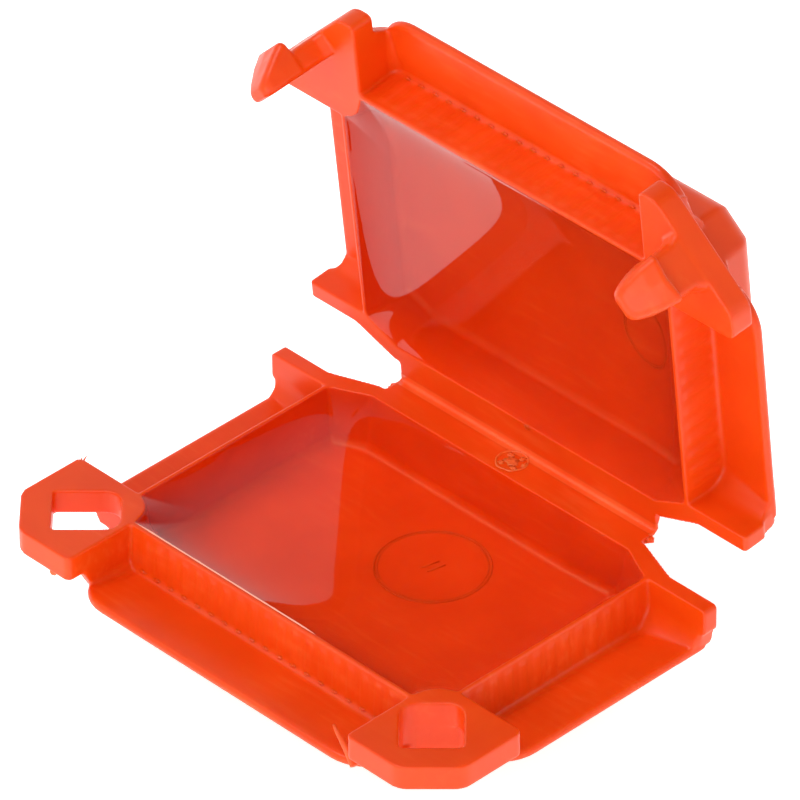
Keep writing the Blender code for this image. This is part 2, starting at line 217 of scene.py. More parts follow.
# Gel.
GEL_LEVEL = -0.95 * MM
GEL_LAP = 0.25 * MM
GEL_GRID = 0.25 * MM
GEL_TAPER = 0.975
GEL_FOOT = FLOOR_TOP - 0.3 * MM
MENISCUS = 0.75 * MM
MENISCUS_REACH = 2.0 * MM
# Bead on the front rim, pale as a painted highlight line along it.
BEAD_START = -20.0 * MM
BEAD_END = 6.3 * MM
BEAD_RADIUS = 0.1 * MM
BEAD_STEPS = 40
BEAD_UNEVEN = 0.35
BEAD_GRAIN = 1.7

# Plastic and gel: each plastic has a dark and a light linear colour.  Texture scales are
# cells to the metre.
PLASTIC = ((0.73, 0.052, 0.0007), (0.82, 0.068, 0.0012))
# Paler plastic: stress whitening on the torn flash, and on the hinge strip also a painted highlight
# along the crease.
WHITENED_AND_HIGHLIT_PLASTIC = ((0.84, 0.085, 0.012), (0.90, 0.14, 0.03))
STREAK_COLOUR = (0.92, 0.20, 0.05, 1)
CLOUD_SCALE = 140.0
STREAK_SCALE = (220.0, 1500.0, 900.0)
STREAK_TURN = (0.3, 0.0, 0.6)
PATCH_SCALE = 75.0
PEEL_SCALE = 1400.0
PEEL_DEPTH = 0.02 * MM
PEEL_STRENGTH = 0.2
FLOW_STRENGTH = 0.16
GLOW_DEPTH = 1.3 * MM
# Amber tint of the gel that darkens the tub seen through it: painted shade.
PAINTED_SHADE_TINT = (0.82, 0.54, 0.18, 1)
GEL_IOR = 1.41
# Pale pink of the painted highlight along the front rim.
RIM_HIGHLIGHT_COLOUR = (0.95, 0.42, 0.30, 1)

# Camera.
AZIMUTH = math.radians(45.108)
ELEVATION = math.radians(36.595)
ROLL = math.radians(-0.612)
DISTANCE = 1.035
LOOK_AT = CREASE + Vector((-11.5, -6.85, 4.46)) * MM
LENS = 453.8

# Studio.
HORIZON_TOP = (0.35, 0.95)
HORIZON_LIGHT = 1.0
ZENITH_LIGHT = 0.12
TOP_WATTS = 3.2
FRONT_WATTS = 1.7
FLOOR_GLOW = 0.74
FLOOR_HALF = 3.0
AIM = (0, 0, 0.02)

VOXEL = 0.19 * MM
MOST_FACES = 185_000


# ---------------------------------------------------------------- mesh helpers


def solid(name, bm):
    """Object of a finished bmesh, its faces turned outward."""
    bmesh.ops.recalc_face_normals(bm, faces=bm.faces)
    mesh = bpy.data.meshes.new(name)
    bm.to_mesh(mesh)
    bm.free()
    made = bpy.data.objects.new(name, mesh)
    bpy.context.scene.collection.objects.link(made)
    return made


def loft(name, rings):
    """Closed solid through rings of equally many points, capped at both ends."""
    bm = bmesh.new()
    loops = [[bm.verts.new(point) for point in ring] for ring in rings]
    for low, high in zip(loops, loops[1:]):
        for i in range(len(low)):
            j = (i + 1) % len(low)
            bm.faces.new((low[i], low[j], high[j], high[i]))
    bm.faces.new(loops[0])
    bm.faces.new(loops[-1])
    return solid(name, bm)


def prism(name, outline, low, high):
    """Outline in XY, extruded along Z."""
    return loft(name, [[(x, y, z) for x, y in outline] for z in (low, high)])


def shifted(corners, inset):
    """Corners (x, y, radius) of a polygon whose sides all move inward by inset."""
    count = len(corners)
    points = [Vector(c[:2]) for c in corners]
    area = sum(points[i - 1].cross(points[i]) for i in range(count))
    sign = math.copysign(1.0, area)
    moved = []
    for i in range(count):
        before = (points[i] - points[i - 1]).normalized()
        after = (points[(i + 1) % count] - points[i]).normalized()
        normals = [Vector((-d.y, d.x)) * sign for d in (before, after)]
        lean = normals[0] + normals[1]
        corner = points[i] + lean * (inset / max(1e-6, lean.dot(normals[0])))
        convex = before.cross(after) * sign > 0
        radius = max(0.0, corners[i][2] - inset) if convex else corners[i][2] + inset
        moved.append((corner.x, corner.y, radius))
    return moved


def rounded(corners, steps=5):
    """Outline through corners (x, y, radius), each one an arc of its radius."""
    count = len(corners)
    points = [Vector(c[:2]) for c in corners]
    outline = []
    for i in range(count):
        before = (points[i] - points[i - 1]).normalized()
        after = (points[(i + 1) % count] - points[i]).normalized()
        turn = math.atan2(before.cross(after), before.dot(after))
        room = min((points[i] - points[i - 1]).length, (points[(i + 1) % count] - points[i]).length)
        reach = min(corners[i][2] * math.tan(abs(turn) / 2), 0.49 * room)
        radius = reach / max(1e-6, math.tan(abs(turn) / 2))
        side = Vector((-before.y, before.x)) * math.copysign(1.0, turn)
        centre = points[i] - before * reach + side * radius
        for step in range(steps + 1):
            spin = Matrix.Rotation(turn * step / steps, 2)
            point = centre - spin @ (side * radius)
            outline.append((point.x, point.y))
    return outline


def mirrored(right):
    """Whole outline or corner list from its right half."""
    return list(right) + [(-p[0], *p[1:]) for p in reversed(right)]


def arc(centre, radius, first, last, steps):
    """Points of an arc, its ends in degrees."""
    points = []
    for step in range(steps + 1):
        angle = math.radians(first + (last - first) * step / steps)
        points.append(tuple(centre + radius * Vector((math.cos(angle), math.sin(angle)))))
    return points


def circle(count):
    """Unit vectors evenly round Z."""
    angles = [2 * math.pi * i / count for i in range(count)]
    return [Vector((math.cos(a), math.sin(a), 0)) for a in angles]


def settled(piece):
    """Makes a piece's modifiers part of its mesh."""
    bpy.context.view_layer.update()
    graph = bpy.context.evaluated_depsgraph_get()
    mesh = bpy.data.meshes.new_from_object(piece.evaluated_get(graph))
    piece.modifiers.clear()
    piece.data = mesh


def carve(piece, cutter, operation="DIFFERENCE"):
    """Applies one exact Boolean."""
    step = piece.modifiers.new("cut", "BOOLEAN")
    step.operation = operation
    step.object = cutter
    step.solver = "EXACT"
    settled(piece)


def removed(*pieces):
    for piece in pieces:
        bpy.data.objects.remove(piece, do_unlink=True)


def positions(mesh):
    found = np.empty(len(mesh.vertices) * 3)
    mesh.vertices.foreach_get("co", found)
    return found.reshape(-1, 3)


def relaxed(mesh, rounds, back):
    """Moves each vertex towards its neighbours' mean, then back by a share of that."""
    points = positions(mesh)
    edges = np.empty(len(mesh.edges) * 2, np.int64)
    mesh.edges.foreach_get("vertices", edges)
    one, other = edges.reshape(-1, 2).T
    ends = np.r_[one, other]
    count = np.bincount(ends, minlength=len(points))[:, None]
    for amount in (0.5, -back) * rounds:
        sums = [
            np.bincount(ends, np.r_[points[other, axis], points[one, axis]], len(points))
            for axis in range(3)
        ]
        points = points + amount * (np.stack(sums, axis=1) / count - points)
    mesh.vertices.foreach_set("co", points.ravel())
    mesh.update()


def fused(name, pieces):
    """One skin round all the pieces, relaxed at its edges."""
    bm = bmesh.new()
    for piece in pieces:
        bm.from_mesh(piece.data)
    made = solid(name, bm)
    removed(*pieces)
    remesh = made.modifiers.new("skin", "REMESH")
    remesh.mode = "VOXEL"
    remesh.voxel_size = VOXEL
    remesh.adaptivity = 0.0
    settled(made)
    relaxed(made.data, rounds=5, back=0.52)
    return made


def thinned(made):
    """Fewer faces where the skin is flat."""
    faces = sum(len(p.vertices) - 2 for p in made.data.polygons)
    if faces > MOST_FACES:
        step = made.modifiers.new("thin", "DECIMATE")
        step.ratio = MOST_FACES / faces
        settled(made)
    made.data.shade_smooth()
    return made


# ------------------------------------------------------------- one half's solids


def tub_corners():
    """Tub's outside, in plan: convex, from the back right corner round to the back left."""
    side = HALF_WIDTH + TUB_WALL
    front = CAVITY_FRONT - TUB_WALL
    return mirrored(
        [
            (REAR_SHOULDER + TUB_WALL / 2, CAVITY_REAR + TUB_WALL, 1.5 * MM),
            (side, EAR_FRONT + TUB_WALL, 2.0 * MM),
            (side, CAVITY_FRONT + POST_ACROSS + TUB_WALL, 1.6 * MM),
            (HALF_WIDTH - POST_ACROSS - TUB_WALL, front, 1.6 * MM),
        ]
    )


def cavity_rear_corners():
    """Right side's two rear corners of the tub's inside."""
    return [
        (REAR_SHOULDER, CAVITY_REAR, REAR_CORNER_ROUND),
        (HALF_WIDTH, EAR_FRONT, EAR_CORNER_ROUND),
    ]


def cavity_corners():
    """Tub's inside at the rim, without the posts."""
    return mirrored(cavity_rear_corners() + [(HALF_WIDTH, CAVITY_FRONT, 0.3 * MM)])


def bowl_rings(corners, low, high, bottom_round):
    """Rings of a tapered bowl with a round bottom edge, from the bottom up."""
    rings = []
    for step in range(9):
        angle = math.radians(90 * step / 8)
        lift = bottom_round * (1 - math.cos(angle))
        inset = bottom_round * (1 - math.sin(angle))
        taper = DRAFT * (1 - lift / (high - low))
        rings.append((low + lift, inset + taper))
    rings.append((high, 0.0))
    return [[(x, y, z) for x, y in rounded(shifted(corners, inset))] for z, inset in rings]


def tub():
    return loft("tub", bowl_rings(tub_corners(), -HALF_HEIGHT, LEDGE_TOP, BOTTOM_ROUND))


def cavity():
    rings = bowl_rings(cavity_corners(), FLOOR_TOP, RIM, FLOOR_ROUND)
    rings.append([(x, y, ABOVE_RIM) for x, y, _ in rings[-1]])
    return loft("cavity", rings)


def ledge_section(width):
    """Foot fillet, sloped top, round edge, gusset and underside, as (outward, up)."""
    wall = ENTRY_WALL + ENTRY_DRAFT
    fillet_centre = Vector((wall + FOOT_FILLET, LEDGE_TOP + FOOT_FILLET))
    radius = LEDGE_THICKNESS / 2
    rise = LEDGE_RISE * (width / LEDGE_SIDE_WIDTH)
    edge = Vector((width - radius, LEDGE_TOP + rise - radius))
    underside = LEDGE_TOP - LEDGE_THICKNESS
    return [
        (-LAP, LEDGE_TOP + FOOT_FILLET),
        *arc(fillet_centre, FOOT_FILLET, 180, 270, 6),
        *arc(edge, radius, 90, -90, 8),
        (TUB_WALL + LEDGE_GUSSET, underside),
        (TUB_WALL - 0.1 * MM, underside - LEDGE_GUSSET_DROP),
        (-LAP, underside - LEDGE_GUSSET_DROP),
    ]


def ledge(name, origin, outward, along, length, width, round_ends):
    """Ledge that starts at origin on the wall's face; its outer corners are round."""
    corner = []
    for step in range(9):
        angle = math.radians(90 * step / 8)
        corner.append((LEDGE_CORNER * (1 - math.cos(angle)), LEDGE_CORNER * (1 - math.sin(angle))))
    square = [(0.0, 0.0)]
    first, last = (corner if is_round else square for is_round in round_ends)
    stations = first + [(length - place, less) for place, less in reversed(last)]
    rings = []
    for place, less in stations:
        base = origin + along * place
        section = ledge_section(width - less)
        rings.append([base + outward * u + Vector((0, 0, z)) for u, z in section])
    return loft(name, rings)


def ledges():
    """Side ledges, round at the front end, and the front ledge, round at both."""
    stop_x = PLATE_INNER_X + WEB
    stop_y = PLATE_INNER_Y - WEB
    length = EAR_MIDDLE - stop_y
    up_y = Vector((0, 1, 0))
    right = Vector((1, 0, 0))
    made = []
    for side in (-1, 1):
        start = Vector((side * HALF_WIDTH, stop_y, 0))
        out = right * side
        made.append(ledge("side_ledge", start, out, up_y, length, LEDGE_SIDE_WIDTH, (True, False)))
    start = Vector((-stop_x, CAVITY_FRONT, 0))
    length = 2 * stop_x
    made.append(ledge("front_ledge", start, -up_y, right, length, LEDGE_FRONT_WIDTH, (True, True)))
    return made


def entry_wall(name, ends, out):
    """Thin wall from the ledge up to the rim, thicker at the foot."""
    foot = LEDGE_TOP - 0.5 * MM
    section = [
        (-LAP, foot),
        (ENTRY_WALL + ENTRY_DRAFT, foot),
        (ENTRY_WALL, RIM),
        (-LAP, RIM),
    ]
    return loft(name, [[end + out * u + Vector((0, 0, z)) for u, z in section] for end in ends])


def entry_walls():
    """Left, right and front walls; their ends run a little into their neighbours."""
    run_in = 0.3 * MM
    made = []
    for side in (-1, 1):
        spans = (PLATE_INNER_Y - run_in, EAR_FRONT + run_in)
        ends = [Vector((side * HALF_WIDTH, y, 0)) for y in spans]
        made.append(entry_wall("side_wall", ends, Vector((side, 0, 0))))
    front_end = PLATE_INNER_X + run_in
    ends = [Vector((x, CAVITY_FRONT, 0)) for x in (-front_end, front_end)]
    made.append(entry_wall("front_wall", ends, Vector((0, -1, 0))))
    return made


def rear_wall():
    """Thick wall behind the tub, with its S-shaped shoulders."""
    out = HALF_WIDTH + 3.0 * MM
    corners = mirrored(
        [
            (REAR_SHOULDER + 0.6 * MM, REAR_FACE, 2.2 * MM),
            (HALF_WIDTH + 1.6 * MM, EAR_BACK + 0.05 * MM, 3.0 * MM),
            (out, EAR_BACK - 0.1 * MM, 0.3 * MM),
            (out, EAR_MIDDLE, 0.0),
        ]
    )
    return prism("rear", rounded(corners), LEDGE_TOP - 2.2 * MM, RIM)


def ears():
    """Plate seen from behind: lip, small step, then a hollow curve to the ledge."""
    lip = RIM - EAR_LIP
    ledge_edge = HALF_WIDTH + LEDGE_SIDE_WIDTH
    low = LEDGE_TOP - LEDGE_THICKNESS / 2
    right = [
        (EAR_EDGE, RIM, 0.5 * MM),
        (EAR_EDGE, lip, 0.3 * MM),
        (EAR_EDGE - EAR_STEP, lip - EAR_STEP, 0.3 * MM),
        (ledge_edge - 0.2 * MM, low, 1.2 * MM),
        (HALF_WIDTH, low, 0.2 * MM),
    ]
    outline = rounded(mirrored(right))
    rings = [[(x, y, z) for x, z in outline] for y in (EAR_FRONT, EAR_BACK)]
    return loft("ears", rings)


def ear_fillets():
    """Hollow curve between each ear's front face and its ledge."""
    centre = Vector((EAR_FRONT - EAR_FILLET, LEDGE_TOP + EAR_FILLET))
    inside_ear = EAR_FRONT + 0.5 * MM
    section = [
        (inside_ear, LEDGE_TOP - LAP),
        (inside_ear, LEDGE_TOP + EAR_FILLET),
        *arc(centre, EAR_FILLET, 0, -90, 8),
        (EAR_FRONT - EAR_FILLET, LEDGE_TOP - LAP),
    ]
    spans = (HALF_WIDTH + 0.2 * MM, HALF_WIDTH + LEDGE_SIDE_WIDTH - 0.1 * MM)
    made = []
    for side in (-1, 1):
        rings = [[(side * x, y, z) for y, z in section] for x in spans]
        made.append(loft("ear_fillet", rings))
    return made


def leaf():
    """Thick part of the hinge, from the rear wall almost to the crease."""
    inside_wall = REAR_FACE - 1.0 * MM
    section = [
        (inside_wall, RIM),
        (-0.45 * MM, RIM),
        (-0.30 * MM, RIM - 0.25 * MM),
        (-0.75 * MM, RIM - LEAF_THICKNESS * 0.75),
        (REAR_FACE + 0.3 * MM, RIM - LEAF_THICKNESS - 0.2 * MM),
        (inside_wall, RIM - LEAF_THICKNESS - 1.2 * MM),
    ]
    return loft("leaf", [[(x, y, z) for y, z in section] for x in (-LEAF_HALF, LEAF_HALF)])


def post_arc(steps=8):
    """Inner face of the right corner post."""
    start = Vector((HALF_WIDTH, PLATE_INNER_Y))
    end = Vector((PLATE_INNER_X, CAVITY_FRONT))
    inward = Vector((-1.0, 1.0)).normalized()
    corner = Vector((HALF_WIDTH, CAVITY_FRONT))
    bulge = CORNER_CUT / math.sqrt(2) - ((start + end) / 2 - corner).dot(inward)
    points = []
    for step in range(steps + 1):
        share = step / steps
        middle = start.lerp(end, share) + inward * bulge * math.sin(math.pi * share)
        points.append((middle.x, middle.y))
    return points


def corner_post():
    """Post that closes the tub's corner: one solid inside the tub, one from there to the rim."""
    outline = post_arc() + [
        (HALF_WIDTH - POST_ACROSS - TUB_WALL, CAVITY_FRONT - TUB_WALL),
        (HALF_WIDTH + TUB_WALL, CAVITY_FRONT + POST_ACROSS + TUB_WALL),
    ]
    low = -HALF_HEIGHT + TUB_FLOOR / 2
    sunk = prism("sunk_post", outline, low, LEDGE_TOP - LEDGE_THICKNESS / 2)
    envelope = tub()
    carve(sunk, envelope, "INTERSECT")
    removed(envelope)
    return [sunk, prism("post", outline, LEDGE_TOP - LEDGE_THICKNESS, RIM)]


def plate_outline(nose):
    """Lug or pad in plan, from the post's arc out to its cut-off nose."""
    edge_x = HALF_WIDTH + PLATE_REACH
    edge_y = CAVITY_FRONT - PLATE_REACH
    shoulder = nose - PLATE_REACH
    inset = 0.2 * MM
    corners = [
        (PLATE_INNER_X, CAVITY_FRONT + inset, 0.0),
        (PLATE_INNER_X, edge_y, PLATE_ROUND),
        (HALF_WIDTH + shoulder, edge_y, NOSE_ROUND),
        (edge_x, CAVITY_FRONT - shoulder, NOSE_ROUND),
        (edge_x, PLATE_INNER_Y, PLATE_ROUND),
        (HALF_WIDTH - inset, PLATE_INNER_Y, 0.0),
    ]
    return rounded(corners)


def web_section():
    """Web across its thickness, with a hollow foot on the channel side, as (across, up)."""
    section = [(-WEB_FILLET, WEB_FOOT)]
    for step in range(7):
        angle = math.radians(90 * step / 6)
        up = LEDGE_TOP + 0.1 * MM + WEB_FILLET * (1 - math.cos(angle))
        section.append((-WEB_FILLET * (1 - math.sin(angle)), up))
    return section + [(0.0, WEB_TOP), (WEB, WEB_TOP), (WEB, WEB_FOOT)]


def webs():
    """Two webs that carry a corner plate; their outer ends slant out towards the plate."""
    section = web_section()
    lean = (WEB_FOOT_BACK - WEB_TOP_BACK) / (WEB_TOP - WEB_FOOT)
    near = [0.2 * MM] * len(section)

    def far(width):
        return [width - WEB_FOOT_BACK + lean * (z - WEB_FOOT) for _, z in section]

    front = [
        [(PLATE_INNER_X + u, CAVITY_FRONT - out, z) for (u, z), out in zip(section, end)]
        for end in (near, far(LEDGE_FRONT_WIDTH))
    ]
    side = [
        [(HALF_WIDTH + out, PLATE_INNER_Y - u, z) for (u, z), out in zip(section, end)]
        for end in (near, far(LEDGE_SIDE_WIDTH))
    ]
    return [loft("front_web", front), loft("side_web", side)]


def diagonal():
    """From the corner frame (X out along the diagonal, Y across it) to the right corner."""
    turn = Matrix.Rotation(math.radians(-45.0), 4, "Z")
    return Matrix.Translation((HALF_WIDTH, CAVITY_FRONT, 0.0)) @ turn


def eye_cutter():
    """Slot through a lug: round towards the tub, square towards the nose."""
    corners = [
        (EYE_START, -EYE_HALF, EYE_TUB_ROUND),
        (EYE_END, -EYE_HALF, EYE_NOSE_ROUND),
        (EYE_END, EYE_HALF, EYE_NOSE_ROUND),
        (EYE_START, EYE_HALF, EYE_TUB_ROUND),
    ]
    cutter = prism("eye", rounded(corners), LEDGE_TOP - 3 * MM, ABOVE_RIM)
    cutter.data.transform(diagonal())
    return cutter


def hook():
    """Barbed hook that stands on its pad, flared at the root and blunt at the tip."""
    rings = []
    for up, inner, outer, breadth, ridge in HOOK_LEVELS:
        low_s = HOOK_INNER + inner * MM
        high_s = HOOK_OUTER + outer * BARB
        width = HOOK_HALF * breadth
        corners = [
            (low_s, -width, HOOK_INNER_ROUND),
            (high_s, -width, HOOK_OUTER_ROUND),
            (high_s, 0.0, 0.0),
            (high_s, width, HOOK_OUTER_ROUND),
            (low_s, width, HOOK_INNER_ROUND),
        ]
        ring = []
        for s, c in rounded(corners):
            on_face = 1.0 if s > (low_s + high_s) / 2 else 0.0
            lift = ridge * MM * on_face * (1 - abs(c) / width)
            ring.append((s, c, up * MM + lift))
        rings.append(ring)
    made = loft("hook", rings)
    made.data.transform(diagonal())
    return made


def corner_pieces(is_base):
    """Post, webs and plate of the right corner, with the lug's eye or the pad's hook."""
    nose = LUG_NOSE if is_base else PAD_NOSE
    plate = prism("plate", plate_outline(nose), RIM - PLATE_THICKNESS, RIM)
    made = [plate, *corner_post(), *webs()]
    if is_base:
        cutter = eye_cutter()
        for piece in made:
            carve(piece, cutter)
        removed(cutter)
    else:
        made.append(hook())
    return made


def mirror(piece, axis):
    scale = Matrix.Identity(4)
    scale[axis][axis] = -1.0
    piece.data.transform(scale)
    piece.data.flip_normals()


def left_copies(pieces):
    made = []
    for piece in pieces:
        copy = bpy.data.objects.new(piece.name, piece.data.copy())
        bpy.context.scene.collection.objects.link(copy)
        mirror(copy, 0)
        made.append(copy)
    return made


def ribbed(made):
    """Fine upright score ribs on the outside of the three entry walls."""
    mesh = made.data
    points = positions(mesh)
    normals = np.empty(len(mesh.vertices) * 3)
    mesh.vertex_normals.foreach_get("vector", normals)
    normals = normals.reshape(-1, 3)
    x, y, z = points.T
    low, high = LEDGE_TOP + FOOT_FILLET * 0.6, RIM - 0.5 * MM
    fade = np.clip((z - low) / (0.5 * MM), 0, 1) * np.clip((high - z) / (0.6 * MM), 0, 1)
    skin, depth, margin = 0.1 * MM, 2 * MM, 0.4 * MM
    in_front = (y < CAVITY_FRONT + skin) & (y > CAVITY_FRONT - depth)
    in_front &= np.abs(x) < PLATE_INNER_X - margin
    along_side = (y > PLATE_INNER_Y + margin) & (y < EAR_FRONT - 0.5 * MM)
    walls = [((0, -1), x, in_front)]
    for side in (1, -1):
        at_wall = (side * x > HALF_WIDTH - skin) & (side * x < HALF_WIDTH + depth)
        walls.append(((side, 0), y, along_side & at_wall))
    for (out_x, out_y), along, inside in walls:
        facing = normals[:, 0] * out_x + normals[:, 1] * out_y > 0.75
        wave = np.clip(0.5 + 1.4 * np.cos(2 * math.pi * along / RIB_PITCH), 0, 1)
        push = RIB_HEIGHT * wave * fade * (inside & facing)
        points[:, 0] += out_x * push
        points[:, 1] += out_y * push
    mesh.vertices.foreach_set("co", points.ravel())
    mesh.update()


def tube(path, radius, flatten=1.0, is_closed=False):
    """Round bar along a path; a closed path makes a ring."""
    bm = bmesh.new()
    count = len(path)
    sides = 10
    loops = []
    for i, point in enumerate(path):
        before = path[i - 1] if i or is_closed else path[0]
        after = path[(i + 1) % count] if i < count - 1 or is_closed else path[-1]
        along = (after - before).normalized()
        across = along.cross(Vector((0, 0, 1)))
        across = across.normalized() if across.length > 1e-6 else Vector((1, 0, 0))
        lift = across.cross(along) * flatten
        size = radius[i] if isinstance(radius, list) else radius
        ring = []
        for side in range(sides):
            angle = 2 * math.pi * side / sides
            spoke = math.cos(angle) * across + math.sin(angle) * lift
            ring.append(bm.verts.new(point + size * spoke))
        loops.append(ring)
    pairs = zip(loops, loops[1:] + loops[:1]) if is_closed else zip(loops, loops[1:])
    for low, high in pairs:
        for i in range(sides):
            j = (i + 1) % sides
            bm.faces.new((low[i], low[j], high[j], high[i]))
    if not is_closed:
        bm.faces.new(loops[0])
        bm.faces.new(loops[-1])
    return solid("tube", bm)


def blob(place, size, roughness, seed):
    """Small irregular lump with half axes size."""
    bm = bmesh.new()
    bmesh.ops.create_icosphere(bm, subdivisions=3, radius=1.0)
    for vertex in bm.verts:
        grain = noise.noise(vertex.co * 2.3 + Vector((seed, 0, 0)))
        spot = vertex.co * (1 + roughness * grain)
        vertex.co = place + Vector((spot.x * size[0], spot.y * size[1], spot.z * size[2]))
    return solid("blob", bm)


def floor_ring(x, y, radius):
    """Raised double ring on the tub's floor."""
    centre = Vector((x, y, FLOOR_TOP))
    made = []
    for reach, line in ((radius, MARK_LINE), (radius - 3 * MARK_LINE, MARK_LINE / 2)):
        path = [centre + reach * out for out in circle(72)]
        made.append(tube(path, line, LINE_FLATNESS, is_closed=True))
    return made


def floor_bars(x, y):
    """Two short slanted bars side by side on the tub's floor."""
    bar = Vector((MARK_BAR_SLANT, 1.0, 0)).normalized() * MARK_BAR
    made = []
    for shift in (-MARK_BAR_APART, MARK_BAR_APART):
        middle = Vector((x + shift, y, FLOOR_TOP))
        made.append(tube([middle - bar, middle, middle + bar], MARK_LINE, LINE_FLATNESS))
    return made


def gate_mark():
    """Round scar on the hinge leaf where the plastic came in, with torn crumbs."""
    centre = Vector((GATE_X, GATE_Y, RIM - GATE_SUNK))
    path = []
    sizes = []
    for out in circle(40):
        uneven = 1 + GATE_UNEVEN * noise.noise(out * 2)
        path.append(centre + GATE_RADIUS * uneven * out)
        grain = noise.noise((out + Vector((0, 0, 5))) * 3)
        sizes.append(GATE_LINE * (1 + GATE_LINE_UNEVEN * grain))
    made = [tube(path, sizes, LINE_FLATNESS, is_closed=True)]
    for dx, dy, rx, ry, rz, seed in GATE_CRUMBS:
        place = centre + Vector((dx, dy, 0)) * MM
        made.append(blob(place, (rx * MM, ry * MM, rz * MM), GATE_CRUMB_ROUGHNESS, seed))
    return made


def flash_bead():
    """Bead of flash under the left lug."""
    x, y, z = FLASH_BEAD_PLACE
    place = Vector((x, CAVITY_FRONT + y, RIM - PLATE_THICKNESS + z))
    return blob(place, FLASH_BEAD_SIZE, roughness=0.3, seed=3)


def flash_slivers():
    """Torn slivers on the left lug's rear corner."""
    x, y, z = SLIVER_PLACE
    corner = Vector((-HALF_WIDTH + x, CAVITY_FRONT + y, RIM + z))
    root = corner - Vector((0, 0.3 * MM, 0.1 * MM))
    made = []
    for reach, turn in SLIVERS:
        tip = corner + reach * MM * Vector((-math.sin(turn), math.cos(turn), SLIVER_RISE))
        made.append(tube([root, corner, tip], list(SLIVER_RADII), SLIVER_FLATNESS))
    return made


def flash_curl():
    """Thin curl of flash that hangs off the right lug over the front ledge."""
    x, y, z = CURL_PLACE
    root = Vector((PLATE_INNER_X + x, CAVITY_FRONT + y, LEDGE_TOP + z))
    path = []
    sizes = []
    for step in range(CURL_STEPS + 1):
        share = step / CURL_STEPS
        bend = math.sin(share * math.pi * 0.75)
        sideways = CURL_RUN * share + CURL_START
        back = CURL_SWEEP * bend + CURL_HOOK * share**3
        path.append(root + Vector((sideways, back, CURL_RISE * bend)) * MM)
        sizes.append((CURL_RADIUS - CURL_THINNING * share) * MM)
    return tube(path, sizes, CURL_FLATNESS)


def mould_flash():
    """Bead, torn slivers and a curl of flash round the base's lugs."""
    return [flash_bead(), *flash_slivers(), flash_curl()]


def base_marks():
    """Ring and bars on the base's floor."""
    return floor_ring(*BASE_MARK) + floor_bars(*BASE_MARK[:2])


def base_flash():
    """Gate scar, flash and the torn edge at each end of the hinge, as one piece."""
    made = gate_mark() + mould_flash()
    x, y, z = HINGE_TEAR_PLACE
    for side in (-1, 1):
        place = Vector((side * (LEAF_HALF + x), y, RIM + z))
        made.append(blob(place, HINGE_TEAR_SIZE, roughness=0.8, seed=11 + side))
    whole = made.pop()
    whole.name = "base_flash"
    joined(whole, made)
    whole.data.transform(Matrix.Translation(CREASE))
    return whole


def lid_marks():
    """Small ring on the lid's floor, and a crumb on its rear rim opposite the gate."""
    crumb = blob(Vector(LID_CRUMB_PLACE), LID_CRUMB_SIZE, roughness=0.5, seed=14)
    return floor_ring(*LID_MARK) + [crumb]


def rib_feet():
    """Small nubs where each score rib meets the front ledge."""
    reach = PLATE_INNER_X - NUB_MARGIN
    y = CAVITY_FRONT - ENTRY_WALL - ENTRY_DRAFT * 0.9 - 0.05 * MM
    count = int(2 * reach / RIB_PITCH) + 1
    made = []
    for i in range(count):
        x = (i - (count - 1) / 2) * RIB_PITCH
        place = Vector((x, y, LEDGE_TOP + FOOT_FILLET * 0.75))
        made.append(blob(place, NUB_SIZE, roughness=0.3, seed=i))
    return made


def joined(made, pieces):
    """Adds small finished bodies to a moulding."""
    bm = bmesh.new()
    bm.from_mesh(made.data)
    for piece in pieces:
        bm.from_mesh(piece.data)
    removed(*pieces)
    bm.to_mesh(made.data)
    bm.free()
    made.data.shade_smooth()


def to_lid():
    """From the base's attitude, turned over, to the open lid."""
    return Matrix.Translation(CREASE) @ Matrix.Rotation(-OPEN_ANGLE, 4, "X")


def half(name, is_base):
    """One half of the moulding, in place."""
    right_corner = corner_pieces(is_base)
    pieces = [tub(), *ledges(), *entry_walls(), rear_wall(), ears(), *ear_fillets(), leaf()]
    hollow = cavity()
    for piece in pieces:
        carve(piece, hollow)
    removed(hollow)
    pieces += right_corner + left_copies(right_corner)
    made = fused(name, pieces)
    ribbed(made)
    thinned(made)
    marks = rib_feet() + (base_marks() if is_base else lid_marks())
    joined(made, marks)
    if is_base:
        made.data.transform(Matrix.Translation(CREASE))
    else:
        mirror(made, 2)
        made.data.transform(to_lid())
    return made


# -------------------------------------------------------------------- materials


def shader_of(name):
    made = bpy.data.materials.new(name)
    made.use_nodes = True
    return made, made.node_tree.nodes, made.node_tree.links


def noise_texture(nodes, links, place, scale, detail):
    """Noise over the piece's own coordinates."""
    made = nodes.new("ShaderNodeTexNoise")
    made.inputs["Scale"].default_value = scale
    made.inputs["Detail"].default_value = detail
    links.new(place, made.inputs["Vector"])
    return made.outputs["Fac"]


def ranged(nodes, links, value, **limits):
    """Map Range of a value; the limits are its sockets' names with _ for a space."""
    made = nodes.new("ShaderNodeMapRange")
    for name, limit in limits.items():
        made.inputs[name.replace("_", " ")].default_value = limit
    links.new(value, made.inputs["Value"])
    return made.outputs["Result"]


def product(nodes, links, value, factor):
    """Math node that multiplies a value by another value or by a number."""
    made = nodes.new("ShaderNodeMath")
    made.operation = "MULTIPLY"
    links.new(value, made.inputs[0])
    if isinstance(factor, float):
        made.inputs[1].default_value = factor
    else:
        links.new(factor, made.inputs[1])
    return made.outputs["Value"]


def enabled(sockets, name):
    """A mix node's socket of this name, of the type in use."""
    return next(s for s in sockets if s.name == name and s.enabled)


